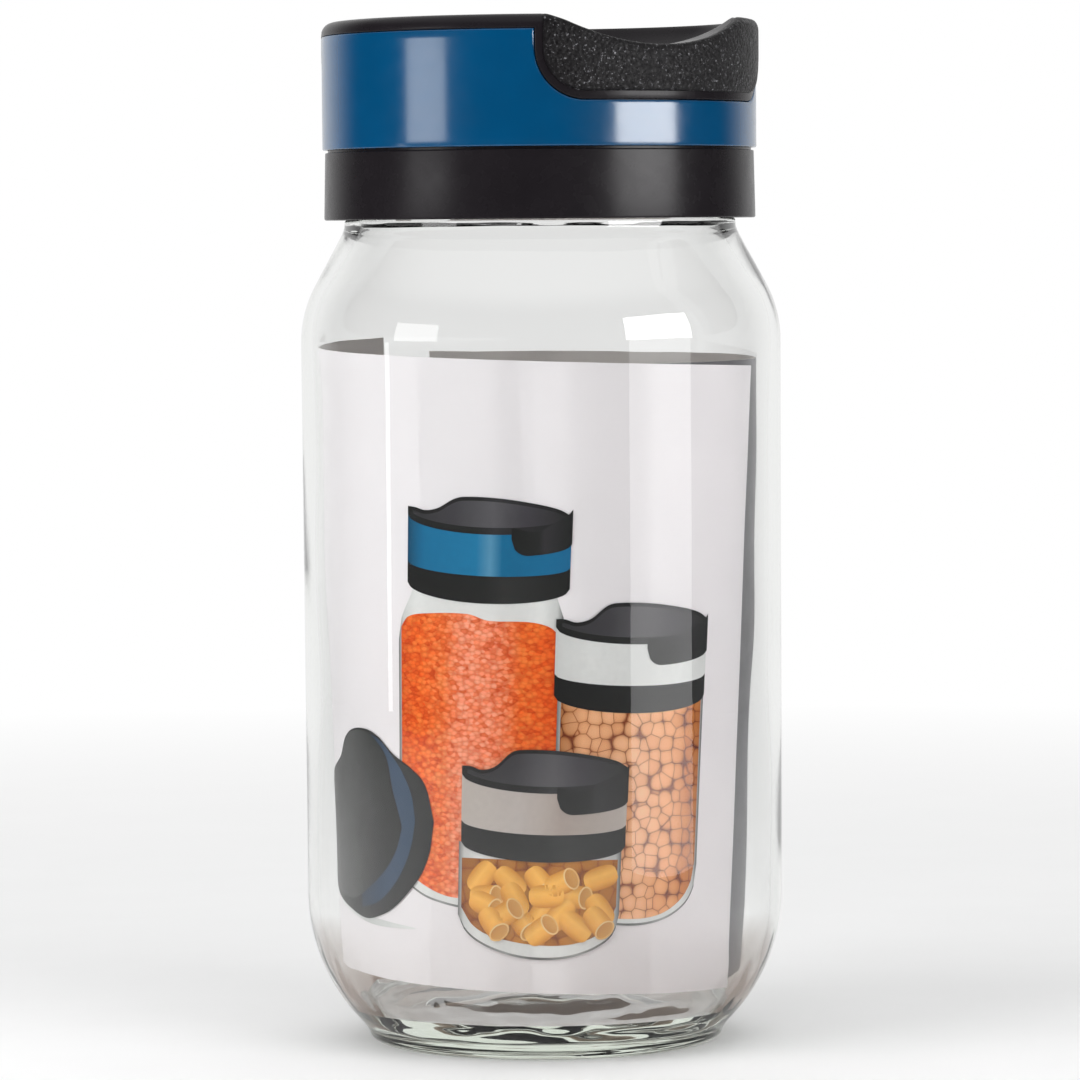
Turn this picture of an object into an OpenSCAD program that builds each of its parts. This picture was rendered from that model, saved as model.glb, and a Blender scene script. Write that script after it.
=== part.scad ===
// Screw-lidded glass storage jar with a two-winged grip lid and two curled paper leaflets inside.
// Millimetres, +Z up. The origin is on the jar's axis at the table. The front is -Y, and angles
// on the lid are counted from the front towards +X.

/* [Jar] */
// Height of the glass, from the table to the mouth's rim
jar_h = 184; // [170:1:220]
// Largest outside radius of the glass body, just below the shoulder
body_r = 48.8; // [47.5:0.1:54]
// Glass thickness of the side wall
wall = 2.6; // [2:0.1:3]
// Radius of the curve between the side wall and the base
heel_r = 37.6; // [36:0.1:39]
// Radius of the curve between the side wall and the shoulder
shoulder_r = 24.5; // [22:0.5:26]

/* [Mouth] */
// Outside radius of the neck between its threads
neck_r = 38.2; // [37.5:0.1:38.5]
// Inside radius of the mouth
mouth_r = 35.2; // [34.8:0.1:35.4]
// Height that the thread climbs in one full turn
lead = 10; // [9:0.5:12]
// Number of thread starts
starts = 2; // [1:1:2]

/* [Lid] */
// Outside radius of the colour band and the rim
lid_r = 44; // [43.5:0.1:46]
// Height of the lower ring
ring_h = 13.6; // [12:0.2:14]
// Height of the colour band
band_h = 22.85; // [21:0.05:26]
// Height of the open seam between lower ring and band
seam = 0.55; // [0.3:0.05:0.8]
// Height of the rounded rim above the band
rim_h = 2.9; // [2.5:0.1:3.5]
// Depth of the dished top below the rim's crest
dish_depth = 7.6; // [7:0.1:8.5]

/* [Grips] */
// Angle from the front to the middle of the front grip wing
wing_mid = 42; // [0:1:90]
// Length of a wing measured round the lid
wing_l = 66; // [56:1:70]
// How far a wing hangs down over the colour band
wing_drop = 13.8; // [12:0.2:16]
// Radius of a wing's lower corners
wing_corner = 10; // [6:0.5:11]
// Width of the smooth border round a grip pad
pad_border = 1.6; // [1:0.1:2.5]
// How far a grip pad stands out from the wing
pad_proud = 0.8; // [0.4:0.1:1.2]
// Angle from the front to the line of the finger valley
valley_turn = 33; // [20:1:50]
// Radius of the finger valley
valley_r = 42; // [36:1:50]
// Depth of the finger valley below the rim's crest
valley_depth = 6.15; // [4:0.05:6.5]

/* [Leaflets] */
// Height of a leaflet
sheet_h = 124; // [100:1:126]
// Length of a leaflet measured round the jar
sheet_l = 148; // [120:1:150]
// Thickness of the paper
sheet_t = 0.3; // [0.2:0.05:0.4]

/* [Hidden] */

// Gap between pieces that are fixed to each other, and the smoothness of curves
fit_gap = 0.1;
arc_steps = 8;
round_fn = 96;

// Glass body: the side wall leans out a little from the heel to the shoulder
body_low_r = body_r - 0.4;
heel_mid_r = body_low_r - heel_r;
heel_top_z = 30;
shoulder_slope = 28.4;
shoulder_end_r = body_r - 0.1 - shoulder_r * (1 - cos(shoulder_slope));

// Foot: a flat standing ring with a raised underside inside it
foot_z = 3.2;
foot_out_r = 33.2;
foot_in_r = 30.8;
foot_side_r = 36.2;
punt_z = 3;
floor_z = 7;

// Neck: a bead under the thread, then the threaded part up to the rim
bead_r = neck_r + 1.5;
bead_low_z = jar_h - 19;
bead_fillet = 0.9;
bead_top_z = jar_h - 17.4;
neck_z = bead_top_z + 1.3;
rim_round = 1;
shoulder_foot_r = bead_r + bead_fillet * (1 - cos(shoulder_slope));
shoulder_end_z = bead_low_z - bead_fillet * sin(shoulder_slope)
    - (shoulder_end_r - shoulder_foot_r) / tan(shoulder_slope);
shoulder_mid_z = shoulder_end_z - shoulder_r * sin(shoulder_slope);

// Threads: the same trapezoid on the jar and in the cap, half a pitch apart
thread_steps = 40;
fade_steps = 5;
thread_sink = 0.3;
jar_thread_z = jar_h - 13;
jar_thread_turns = 0.9;
jar_thread_crest_r = neck_r + 1.4;
cap_thread_z = jar_thread_z - 0.3;
cap_thread_turns = 0.8;
cap_thread_crest_r = neck_r + 0.5;
root_w = 2.2;
crest_w = 1.1;

// Lid: heights from the bottom of the lower ring upwards
lid_z = jar_h - 17.3;
ring_z = lid_z + ring_h;
band_z = ring_z + seam;
band_top_z = band_z + band_h;
crest_z = band_top_z + rim_h;
gasket_t = 2;
disc_z = jar_h + gasket_t;
disc_t = 1.8;
flange_t = 0.9;

// Lid: radii from the threads outwards
cap_bore_r = neck_r + 1.9;
cap_out_r = cap_bore_r + 1.3;
spigot_in_r = cap_out_r + fit_gap;
band_in_r = lid_r - 1.6;
collar_out_r = band_in_r - fit_gap;
collar_in_r = collar_out_r - 2.1;
ring_low_r = lid_r - 0.25;
ring_top_r = lid_r - 0.55;
plug_out_r = mouth_r - 1;
plug_in_r = plug_out_r - 1.6;
plug_drop = 1;
gasket_in_r = plug_out_r + 0.4;
gasket_out_r = cap_bore_r - 0.5;

// Dished top: a nearly flat floor, a hollow wall round it and a rim rounded outside and in
rim_round_r = 2.4;
rim_edge_r = 0.7;
dish_wall_r = 14;
dish_sag = 0.2;
roof_t = 2;
crest_r = lid_r - rim_round_r;
dish_z = crest_z - dish_depth;
dish_wall_z = dish_z + dish_sag + dish_wall_r;
dish_lip_r = crest_r - rim_edge_r;
dish_lip_z = crest_z - rim_edge_r;
dish_floor_r = dish_lip_r - sqrt(pow(dish_wall_r, 2) - pow(dish_wall_z - dish_lip_z, 2));

// Wings and pads
wing_low_z = band_top_z - wing_drop;
pad_t = 1.5;
pad_out_r = lid_r + pad_proud;
pad_in_r = pad_out_r - pad_t;
valley_z = crest_z - valley_depth + valley_r;

// Leaflets: they lean on the glass, tighter at the foot, and the rear one laps inside the front one
sheet_z = 14.3;
sheet_low_r = 41.6;
sheet_top_r = 45.1;
sheet_lap_gap = 0.8;
sheet_turn = sheet_l / (sheet_low_r + sheet_top_r) * 360 / PI;
front_sheet_edge = 62;
rear_sheet_edge = 213;

// Points on an arc in the radius-height plane, from one angle to another
function arc(r, z, size, from, to, steps = arc_steps) =
    [for (i = [0:steps]) let (a = from + (to - from) * i / steps) [r + size * cos(a), z + size * sin(a)]];

// Where an arc about heel_mid_r and heel_top_z crosses the height z
function heel_angle(size, z) = asin((z - heel_top_z) / size);

// Outside of the glass from the standing ring up to the rim
function glass_outside() = concat(
    [[foot_out_r, 0]],
    arc(foot_side_r - 1.8, 1.8, 1.8, -50, 0, 3),
    arc(heel_mid_r, heel_top_z, heel_r, heel_angle(heel_r, foot_z), 0, 14),
    arc(body_r - 0.1 - shoulder_r, shoulder_mid_z, shoulder_r, 0, shoulder_slope),
    arc(bead_r + bead_fillet, bead_low_z, bead_fillet, 180 + shoulder_slope, 180, 3),
    [[bead_r, bead_top_z], [neck_r, neck_z]],
    arc(neck_r - rim_round, jar_h - rim_round, rim_round, 0, 90, 4)
);

// Inside of the glass from the rim down to the middle of the floor
function glass_inside() = concat(
    arc(mouth_r + rim_round, jar_h - rim_round, rim_round, 90, 180, 4),
    [[mouth_r, neck_z - 1]],
    arc(body_r - 0.1 - shoulder_r, shoulder_mid_z, shoulder_r - wall, shoulder_slope, 0),
    arc(heel_mid_r, heel_top_z, heel_r - wall, 0, heel_angle(heel_r - wall, floor_z + 1.5), 12),
    [[heel_mid_r + 10, floor_z], [0, floor_z + 0.6]]
);

// Underside of the glass from its middle out to the standing ring
function glass_underside() = [[0, punt_z], [foot_in_r - 8, punt_z - 0.8], [foot_in_r, 0]];

// Trapezoid of a thread at step i of n: k fades the crest into the wall at both ends
function thread_ring(i, n, wall_r, crest, z) =
    let (
        k = min(1, min(i, n - i) / fade_steps),
        out = sign(crest - wall_r),
        tip = wall_r + (crest - wall_r + out * fit_gap) * k - out * fit_gap,
        root = wall_r - out * thread_sink,
        a = 360 * i / thread_steps,
        rise = z + lead * i / thread_steps,
        section = [[root, -root_w / 2], [tip, -crest_w / 2], [tip, crest_w / 2], [root, root_w / 2]]
    )
    [for (p = section) [p[0] * cos(a), p[0] * sin(a), rise + p[1]]];

// One right-hand thread that starts at +X and stands on a wall of radius wall_r
module thread(wall_r, crest, z, turns) {
    n = round(turns * thread_steps);
    points = [for (i = [0:n]) each thread_ring(i, n, wall_r, crest, z)];
    sides = [for (i = [0:n - 1]) for (j = [0:3])
        [4 * i + j, 4 * i + (j + 1) % 4, 4 * i + 4 + (j + 1) % 4, 4 * i + 4 + j]];
    triangles = [for (s = sides) each [[s[0], s[2], s[1]], [s[0], s[3], s[2]]]];
    ends = [[0, 1, 2], [0, 2, 3], [4 * n, 4 * n + 2, 4 * n + 1], [4 * n, 4 * n + 3, 4 * n + 2]];
    faces = concat(triangles, ends);
    polyhedron(points, crest < wall_r ? faces : [for (f = faces) [f[2], f[1], f[0]]]);
}

// Ring of rectangular section
module ring(in_r, out_r, low_z, top_z) {
    rotate_extrude($fn = round_fn)
        polygon([[in_r, low_z], [out_r, low_z], [out_r, top_z], [in_r, top_z]]);
}

// Outline of a wing as seen square on: inset shrinks it and top_z closes it
function wing_outline(inset, top_z) =
    let (
        corner = wing_corner - inset,
        end = wing_l / 2 - inset,
        low = wing_low_z + inset,
        side = [for (i = [0:arc_steps]) let (a = 90 * i / arc_steps)
            [end - corner + corner * cos(a), low + corner - corner * sin(a)]],
        right = [for (p = side) [lid_r * sin(p[0] / lid_r * 180 / PI), p[1]]],
        left = [for (i = [arc_steps:-1:0]) [-right[i][0], right[i][1]]]
    )
    concat([[right[0][0], top_z]], right, left, [[left[arc_steps][0], top_z]]);

// Block of wing outline that reaches from inside the lid to outside it, at the front wing
module wing_block(inset, top_z) {
    rotate([0, 0, wing_mid])
        translate([0, -lid_r / 2, 0])
            rotate([90, 0, 0])
                linear_extrude(height = lid_r) polygon(wing_outline(inset, top_z));
}

// Horizontal round bar that scoops the finger valley out of the rim at both ends
module valley() {
    rotate([0, 0, valley_turn])
        translate([0, 0, valley_z])
            rotate([90, 0, 0])
                cylinder(r = valley_r, h = 3 * lid_r, center = true, $fn = 180);
}

// Grip pad at the front wing: grow widens it on every side, for the pocket it lies in
module pad(grow) {
    difference() {
        intersection() {
            rotate_extrude($fn = round_fn)
                polygon(concat(
                    [[pad_in_r - grow, wing_low_z], [pad_out_r + grow, wing_low_z]],
                    [for (p = arc(0, 0, 1, 0, 60, 5))
                        [crest_r + (pad_out_r + grow - crest_r) * p[0],
                            crest_z - rim_round_r + (rim_round_r + grow) * p[1]]],
                    [[pad_in_r - grow, crest_z + grow - 0.45]]
                ));
            wing_block(pad_border - grow, crest_z + 1);
        }
        valley();
    }
}

// Jar of clear glass with a round shoulder, a threaded mouth and a raised floor
module glass_jar() {
    color([0.85, 0.93, 0.9, 0.4]) {
        rotate_extrude($fn = round_fn)
            polygon(concat(glass_underside(), glass_outside(), glass_inside()));
        for (s = [0:starts - 1])
            rotate([0, 0, 360 * s / starts])
                thread(neck_r, jar_thread_crest_r, jar_thread_z, jar_thread_turns);
    }
}

// Curled paper sheet whose edge lies at an angle from the front and which runs back from there
module sheet(edge, inset) {
    low = sheet_low_r - inset;
    top = sheet_top_r - inset;
    rotate([0, 0, edge - 90 - sheet_turn])
        translate([0, 0, sheet_z])
            rotate_extrude(angle = sheet_turn, $fn = round_fn)
                polygon([[low - sheet_t, 0], [low, 0], [top, sheet_h], [top - sheet_t, sheet_h]]);
}

// Printed leaflet that faces the front
module front_leaflet() {
    color("white") sheet(front_sheet_edge, 0);
}

// Printed leaflet that faces the back, with its right end under the front leaflet's
module rear_leaflet() {
    color("dimgray") sheet(rear_sheet_edge, sheet_t + sheet_lap_gap);
}

// Soft sealing ring that the lid presses onto the mouth's rim
module gasket() {
    color("whitesmoke") ring(gasket_in_r, gasket_out_r, jar_h, disc_z);
}

// Inner cap with the thread, the disc over the mouth and a ring that centres the gasket
module screw_cap() {
    color([0.12, 0.12, 0.13]) {
        rotate_extrude($fn = round_fn)
            polygon([
                [0, disc_z], [plug_in_r, disc_z], [plug_in_r, jar_h - plug_drop],
                [plug_out_r, jar_h - plug_drop], [plug_out_r, disc_z], [cap_bore_r, disc_z],
                [cap_bore_r, lid_z + flange_t], [cap_out_r, lid_z + flange_t],
                [cap_out_r, disc_z + disc_t], [0, disc_z + disc_t]
            ]);
        for (s = [0:starts - 1])
            rotate([0, 0, 360 * (s + 0.5) / starts])
                thread(cap_bore_r, cap_thread_crest_r, cap_thread_z, cap_thread_turns);
    }
}

// Plain lower ring that holds the colour band from below, with a spigot inside the band
module lower_ring() {
    color([0.13, 0.12, 0.13])
        rotate_extrude($fn = round_fn)
            polygon([
                [cap_bore_r + 0.4, lid_z], [ring_low_r, lid_z], [ring_top_r, ring_z],
                [band_in_r + 0.5, ring_z], [band_in_r + 0.5, band_z], [collar_out_r, band_z],
                [collar_out_r, jar_h + 2], [spigot_in_r, jar_h + 2],
                [spigot_in_r, lid_z + flange_t], [cap_bore_r + 0.4, lid_z + flange_t]
            ]);
}

// Glossy colour band with a notch for each wing
module colour_band() {
    color([0, 0.29, 0.46])
        difference() {
            ring(band_in_r, lid_r, band_z, band_top_z);
            for (turn = [0, 180])
                rotate([0, 0, turn]) wing_block(-fit_gap, band_top_z + 1);
        }
}

// Profile of the top cap: dished roof, rounded rim and the collar inside the band
function cap_profile() = concat(
    [[0, dish_z - roof_t], [collar_in_r, dish_z - roof_t], [collar_in_r, disc_z + disc_t],
        [collar_out_r, disc_z + disc_t], [collar_out_r, band_top_z], [lid_r, band_top_z]],
    arc(crest_r, crest_z - rim_round_r, rim_round_r, 0, 90, 6),
    arc(crest_r, dish_lip_z, rim_edge_r, 100, 150, 3),
    arc(dish_floor_r, dish_wall_z, dish_wall_r, -36, -90, 9),
    [[dish_floor_r / 2, dish_z + dish_sag / 4], [0, dish_z]]
);

// Top cap with its two hanging wings, scooped by the finger valley and pocketed for the pads
module top_cap() {
    color([0.14, 0.14, 0.15])
        difference() {
            union() {
                rotate_extrude($fn = round_fn) polygon(cap_profile());
                for (turn = [0, 180])
                    rotate([0, 0, turn])
                        intersection() {
                            ring(collar_out_r - 0.5, lid_r, wing_low_z, band_top_z);
                            wing_block(0, band_top_z + 1);
                        }
            }
            valley();
            for (turn = [0, 180])
                rotate([0, 0, turn]) pad(fit_gap);
        }
}

// Textured soft-grip pad in the front wing
module grip_pad_front() {
    color([0.1, 0.1, 0.1]) pad(0);
}

// Textured soft-grip pad in the rear wing
module grip_pad_rear() {
    color([0.1, 0.1, 0.1]) rotate([0, 0, 180]) pad(0);
}

glass_jar();
front_leaflet();
rear_leaflet();
gasket();
screw_cap();
lower_ring();
colour_band();
top_cap();
grip_pad_front();
grip_pad_rear();
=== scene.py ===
# Looks of the lidded glass storage jar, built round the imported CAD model.
# Lengths are in millimetres inside the helpers and become metres when a mesh is made. The origin
# is on the jar's axis at the table, the front is -Y, and azimuths run from the front towards +X.
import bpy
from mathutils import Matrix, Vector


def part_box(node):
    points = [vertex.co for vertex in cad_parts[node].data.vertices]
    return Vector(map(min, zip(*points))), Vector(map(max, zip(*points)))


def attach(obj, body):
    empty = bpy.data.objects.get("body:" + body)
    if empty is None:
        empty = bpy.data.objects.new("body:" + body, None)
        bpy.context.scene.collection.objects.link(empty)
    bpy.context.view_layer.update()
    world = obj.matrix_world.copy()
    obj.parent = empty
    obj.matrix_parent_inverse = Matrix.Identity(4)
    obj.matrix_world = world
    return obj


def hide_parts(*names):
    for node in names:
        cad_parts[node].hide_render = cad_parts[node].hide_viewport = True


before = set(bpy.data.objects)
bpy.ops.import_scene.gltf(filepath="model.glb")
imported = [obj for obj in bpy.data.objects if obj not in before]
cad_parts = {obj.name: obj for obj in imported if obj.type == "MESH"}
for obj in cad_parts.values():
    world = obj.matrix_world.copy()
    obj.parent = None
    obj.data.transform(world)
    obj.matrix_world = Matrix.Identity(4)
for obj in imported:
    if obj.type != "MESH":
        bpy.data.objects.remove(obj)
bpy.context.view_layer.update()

import math
import random

import bmesh
import bpy
from mathutils import Euler, Vector, noise

MM = 0.001


# ---------------------------------------------------------------- sizes
def box_mm(node):
    """Lowest and highest corner of a CAD node, in millimetres."""
    low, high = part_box(node)
    return low / MM, high / MM


JAR_HIGH = box_mm("glass_jar")[1]
RING_LOW, RING_HIGH = box_mm("lower_ring")
BAND_LOW, BAND_HIGH = box_mm("colour_band")
CAP_LOW, CAP_HIGH = box_mm("top_cap")
SEAL_LOW, SEAL_HIGH = box_mm("gasket")
SCREW_HIGH = box_mm("screw_cap")[1]
SHEET_LOW = box_mm("front_leaflet")[0]

# Glass
JAR_H = JAR_HIGH.z
BODY_R = JAR_HIGH.x
WALL = 2.6
MAKING_PLAY = 0.3
HEEL_R = 37.6
HEEL_MID_R = BODY_R - MAKING_PLAY - HEEL_R
HEEL_TOP_Z = 30
SHOULDER_R = 24.5
SHOULDER_SLOPE = 28.4
SHOULDER_MID_R = BODY_R - SHOULDER_R
FOOT_OUT_R = 33.2
FOOT_IN_R = 30.8
FOOT_SIDE_R = 36.2
FOOT_CORNER_R = 1.8
FOOT_Z = 3.2
PUNT_Z = 3
FLOOR_Z = 7
NECK_R = 38.2
MOUTH_R = 35.2
BEAD_R = NECK_R + 1.5
BEAD_LOW_Z = JAR_H - 19
BEAD_TOP_Z = JAR_H - 17.4
NECK_Z = BEAD_TOP_Z + 1.3
NECK_INSIDE_R = MOUTH_R + 1.3
BEAD_FILLET = 4

# Threads
LEAD = 10
STARTS = 2
THREAD_ROOT_W = 2.2
THREAD_CREST_W = 1.1
THREAD_FADE = 45
THREAD_STEP = 0.25
JAR_THREAD_Z = JAR_H - 13
JAR_THREAD_SWEEP = 324
JAR_THREAD_DEPTH = 1.4
CAP_THREAD_Z = JAR_THREAD_Z - 0.3
CAP_THREAD_SWEEP = 288
CAP_THREAD_DEPTH = 1.4

# Lid
LID_R = BAND_HIGH.x
LID_Z = RING_LOW.z
BAND_Z = BAND_LOW.z
BAND_TOP_Z = BAND_HIGH.z
CREST_Z = CAP_HIGH.z
SEAM = 0.55
RING_TOP_Z = BAND_Z - SEAM
BAND_IN_R = LID_R - 1.6
COLLAR_OUT_R = BAND_IN_R - 0.1
COLLAR_IN_R = COLLAR_OUT_R - 2.1
COLLAR_Z = CAP_LOW.z
BORE_R = NECK_R + 1.9
SEAL_WIDTH = 5
DISC_Z = SEAL_HIGH.z
DISC_TOP_Z = SCREW_HIGH.z
RING_LIP = 0.9
RIM_R = 2.4
VALLEY_EDGE_R = 1.1
DISH_DEPTH = 7.6
DISH_SAG = 0.2
DISH_WALL_R = 14
DISH_FLOOR_R = 28.95
ROOF_T = 2
VALLEY_TURN = 33
VALLEY_DEPTH = 6.15
VALLEY_NEAR_R = 41
VALLEY_TIP_R = 49
WING_MIDS = (42, 222)
WING_HALF = 33
WING_DROP = 13.8
WING_CORNER = 10
WING_LOW_Z = BAND_TOP_Z - WING_DROP
PAD_BORDER = 1.6
PAD_PROUD = 0.8
PAD_SKIRT = 0.3
PAD_SINK = 0.25
PAD_SHRINK = 0.985
BAND_GAP = 0.15
BAND_FILLET = 0.3
CAP_EDGE_BREAK = 0.25
WING_COLUMNS = 172
PAD_COLUMNS = 150

# Leaflets
SHEET_H = 124
SHEET_L = 148
SHEET_T = 0.25
SHEET_Z = SHEET_LOW.z
SHEET_FOOT_R = 41.6
SHEET_TOP_R = 45.1
SHEET_MEAN_R = (SHEET_FOOT_R + SHEET_TOP_R) / 2
SHEET_WAVE = 0.14
SHEET_GAP = 0.35
LAP_INSET = 1.1


# ---------------------------------------------------------------- mesh helpers
def polar(r, azimuth, z):
    """Point at a radius, an azimuth in degrees and a height."""
    a = math.radians(azimuth)
    return (r * math.sin(a), -r * math.cos(a), z)


def arc(r, z, size, start, end, steps):
    """Points on an arc in the radius-height plane."""
    angles = [math.radians(start + (end - start) * i / steps) for i in range(steps + 1)]
    return [(r + size * math.cos(a), z + size * math.sin(a)) for a in angles]


def between(a, b, share):
    """Pair of numbers at a share of the way from one pair to another."""
    return (a[0] + (b[0] - a[0]) * share, a[1] + (b[1] - a[1]) * share)


def rounded(corners, steps=5):
    """Closed profile of (radius, height, fillet) corners with each corner rounded off."""
    path = []
    count = len(corners)
    for i, corner in enumerate(corners):
        here = Vector(corner[:2])
        before = Vector(corners[i - 1][:2]) - here
        after = Vector(corners[(i + 1) % count][:2]) - here
        size = min(corner[2], before.length * 0.49, after.length * 0.49)
        if size <= 0:
            path.append(tuple(here))
            continue
        start = here + before.normalized() * size
        end = here + after.normalized() * size
        for k in range(steps + 1):
            t = k / steps
            point = start * (1 - t) ** 2 + here * (2 * t * (1 - t)) + end * t * t
            path.append(tuple(point))
    return path


def grid_faces(rows, columns, wrap=False, first=0):
    """Quads between rows of points that follow each other."""
    faces = []
    for r in range(rows - 1):
        for c in range(columns if wrap else columns - 1):
            a = first + r * columns + c
            b = first + r * columns + (c + 1) % columns
            faces.append((a, b, b + columns, a + columns))
    return faces


def make_piece(name, points, faces, materials, sharp=35, merge=True, face_slots=None):
    """Mesh object from points in millimetres, smooth except at edges sharper than an angle."""
    mesh = bpy.data.meshes.new(name)
    mesh.from_pydata([tuple(c * MM for c in p) for p in points], [], faces)
    for mat in materials:
        mesh.materials.append(mat)
    if face_slots:
        mesh.polygons.foreach_set("material_index", face_slots)
    work = bmesh.new()
    work.from_mesh(mesh)
    if merge:
        bmesh.ops.remove_doubles(work, verts=work.verts, dist=1e-6)
    bmesh.ops.recalc_face_normals(work, faces=work.faces)
    work.to_mesh(mesh)
    work.free()
    mesh.polygons.foreach_set("use_smooth", [True] * len(mesh.polygons))
    mesh.set_sharp_from_angle(angle=math.radians(sharp))
    piece = bpy.data.objects.new(name, mesh)
    bpy.context.scene.collection.objects.link(piece)
    return piece


def turned(name, profile, materials, columns=240, closed=True, shape=None):
    """Piece turned about the axis from a profile. shape moves single points."""
    angles = [360 * c / columns for c in range(columns)]
    shape = shape or (lambda r, azimuth, z: (r, z))
    points = []
    for r, z in profile:
        for a in angles:
            new_r, new_z = shape(r, a, z)
            points.append(polar(new_r, a, new_z))
    faces = grid_faces(len(profile), columns, wrap=True)
    if closed:
        last = (len(profile) - 1) * columns
        for c in range(columns):
            n = (c + 1) % columns
            faces.append((last + c, last + n, n, c))
    return make_piece(name, points, faces, materials)


def shell(name, rows, mat):
    """Closed piece from rows of points round the axis."""
    points = [p for row in rows for p in row]
    return make_piece(name, points, grid_faces(len(rows), len(rows[0]), wrap=True), [mat], sharp=50)


def belongs(piece, body, slot, *nodes):
    """Says which body a piece rides on and which CAD nodes it stands for. The slot is not used."""
    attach(piece, body)
    if nodes:
        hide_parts(*nodes)


def smooth_min(a, b, width):
    """Lower of two heights with the corner between them rounded over a width."""
    blend = max(width - abs(a - b), 0) / width
    return min(a, b) - blend * blend * width / 4


def smooth_step(x):
    """Rises from 0 to 1 with level ends."""
    x = min(max(x, 0), 1)
    return x * x * (3 - 2 * x)


def thread_height(azimuth, z, thread_z, sweep, turn, depth):
    """How far a thread stands off its wall at a place. The thread starts at +X plus turn."""
    height = 0
    for s in range(STARTS):
        along = (azimuth - 90 - turn - 360 * s / STARTS) % 360
        for lap in (along, along + 360):
            if lap > sweep:
                continue
            off = abs(z - thread_z - LEAD * lap / 360)
            flank = (THREAD_ROOT_W / 2 - off) / ((THREAD_ROOT_W - THREAD_CREST_W) / 2)
            fade = min(lap, sweep - lap) / THREAD_FADE
            height = max(height, depth * smooth_step(flank) * smooth_step(fade))
    return height


# ---------------------------------------------------------------- material helpers
class Tree:
    """Short ways to add nodes to a node tree."""

    def __init__(self, tree):
        self.nodes = tree.nodes
        self.links = tree.links

    def add(self, kind, inputs=None, **settings):
        """New node with its settings and the values or links of its inputs."""
        node = self.nodes.new(kind)
        for key, value in settings.items():
            setattr(node, key, value)
        for key, value in (inputs or {}).items():
            if isinstance(value, bpy.types.NodeSocket):
                self.links.new(value, node.inputs[key])
            else:
                node.inputs[key].default_value = value
        return node

    def maths(self, kind, first, second):
        """Result of a maths node."""
        return self.add("ShaderNodeMath", {0: first, 1: second}, operation=kind).outputs[0]

    def vectors(self, kind, first, second):
        """Result of a vector maths node."""
        return self.add("ShaderNodeVectorMath", {0: first, 1: second}, operation=kind).outputs[0]

    def span(self, value, low, high, to_low, to_high, **settings):
        """Value mapped from one range to another."""
        inputs = {"Value": value, "From Min": low, "From Max": high, "To Min": to_low, "To Max": to_high}
        return self.add("ShaderNodeMapRange", inputs, **settings).outputs["Result"]


class Shader(Tree):
    """Node material with a Principled shader and short ways to add what feeds it."""

    def __init__(self, name, **sockets):
        self.mat = bpy.data.materials.new(name)
        self.mat.use_nodes = True
        super().__init__(self.mat.node_tree)
        self.bsdf = self.nodes["Principled BSDF"]
        self.surface = self.nodes["Material Output"].inputs["Surface"]
        for key, value in sockets.items():
            self.bsdf.inputs[key.replace("_", " ")].default_value = value

    def place(self, scale=(1, 1, 1)):
        """Object coordinates in metres times a scale."""
        coordinates = self.add("ShaderNodeTexCoord").outputs["Object"]
        return self.add("ShaderNodeMapping", {"Vector": coordinates, "Scale": scale}).outputs[0]

    def noise(self, scale, detail=3, rough=0.55, stretch=(1, 1, 1)):
        """Value of a noise texture."""
        inputs = {"Vector": self.place(stretch), "Scale": scale, "Detail": detail, "Roughness": rough}
        return self.add("ShaderNodeTexNoise", inputs).outputs["Fac"]

    def cells(self, scale, feature="F1", output="Distance", vector=None, randomness=0.8):
        """An output of a Voronoi texture."""
        inputs = {"Vector": vector or self.place(), "Scale": scale, "Randomness": randomness}
        return self.add("ShaderNodeTexVoronoi", inputs, feature=feature).outputs[output]

    def ramp(self, value, stops):
        """Colour ramp with stops of (place, colour)."""
        node = self.add("ShaderNodeValToRGB", {"Fac": value})
        elements = node.color_ramp.elements
        while len(elements) < len(stops):
            elements.new(0.5)
        for element, (place, colour) in zip(elements, stops):
            element.position = place
            element.color = (*colour, 1)
        return node.outputs["Color"]

    def part(self, vector, axis):
        """One coordinate of a vector."""
        return self.add("ShaderNodeSeparateXYZ", {0: vector}).outputs[axis]

    def uv(self, title):
        """Coordinates from a UV map."""
        return self.add("ShaderNodeUVMap", uv_map=title).outputs[0]

    def wander(self, scale, low, high):
        """Colour that wanders between two others."""
        return self.ramp(self.noise(scale), [(0.3, low), (0.7, high)])

    def join(self, colour):
        """Links a colour to the base colour."""
        self.links.new(colour, self.bsdf.inputs["Base Color"])

    def blend(self, share, first, second):
        """Shader socket between two others."""
        return self.add("ShaderNodeMixShader", {0: share, 1: first, 2: second}).outputs[0]

    def rough(self, scale, low, high, noise_low=0.3, noise_high=0.7):
        """Roughness that wanders between two values."""
        value = self.span(self.noise(scale), noise_low, noise_high, low, high)
        self.links.new(value, self.bsdf.inputs["Roughness"])

    def bump(self, height, strength, depth):
        """Bump from a height, with its depth in metres."""
        inputs = {"Height": height, "Strength": strength, "Distance": depth}
        self.links.new(self.add("ShaderNodeBump", inputs).outputs[0], self.bsdf.inputs["Normal"])


def tinted(colour, factor):
    """Colour times a factor."""
    return tuple(c * factor for c in colour)


def mottled(name, colour, rough, grain=900, spread=0.08, bump=0.15, **sockets):
    """Plain surface whose colour, gloss and level vary a little."""
    s = Shader(name, **sockets)
    s.join(s.wander(120, tinted(colour, 1 - spread), tinted(colour, 1 + spread)))
    s.rough(260, rough - 0.03, rough + 0.03)
    s.bump(s.noise(grain, detail=2), bump, FINE_BUMP)
    return s.mat


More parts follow.
